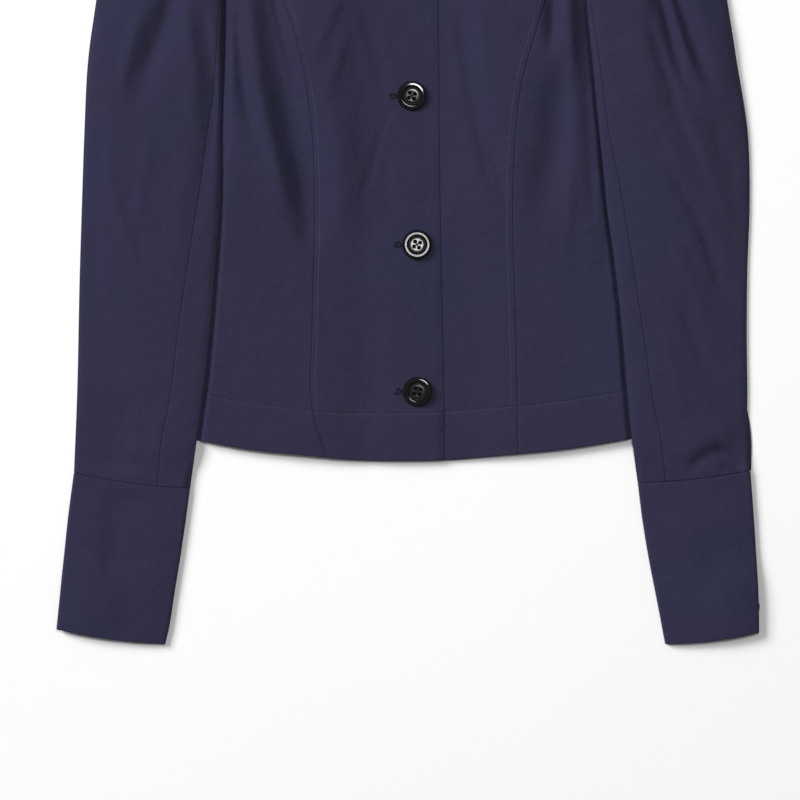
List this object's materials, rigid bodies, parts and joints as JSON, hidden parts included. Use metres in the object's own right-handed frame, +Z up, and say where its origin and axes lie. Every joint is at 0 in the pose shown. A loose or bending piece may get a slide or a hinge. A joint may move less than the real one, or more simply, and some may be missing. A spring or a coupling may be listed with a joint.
{
  "type": "cropped blazer, laid flat",
  "caption": "Cropped women's blazer laid flat with its front up: princess seams, turned-up hem, puffed two-piece sleeves with deep cuffs, and glossy buttons.",
  "frame": {"origin": "middle of the blazer's outline on the surface it lies on", "axes": "+Z up from the surface, out of the front of the blazer; +Y from the cuffs to the collar, its longest side; +X to the wearer's left"},
  "size_m": [0.5486, 0.678, 0.0147],
  "materials": {
    "cloth": "fine plain-woven cotton with a soft low sheen, very dark navy",
    "buttons": "high gloss"
  },
  "bodies": {
    "root": {"back_body": "cloth", "right_front": "cloth", "left_front": "cloth", "right_side_front": "cloth", "left_side_front": "cloth", "right_lapel": "cloth", "left_lapel": "cloth", "collar": "cloth", "right_upper_sleeve": "cloth", "right_under_sleeve": "cloth", "left_upper_sleeve": "cloth", "left_under_sleeve": "cloth", "right_cuff": "cloth", "left_cuff": "cloth", "front_button_1": "buttons", "front_button_2": "buttons", "front_button_3": "buttons", "front_button_4": "buttons", "right_cuff_button": "buttons", "left_cuff_button": "buttons"}
  },
  "joints": []
}
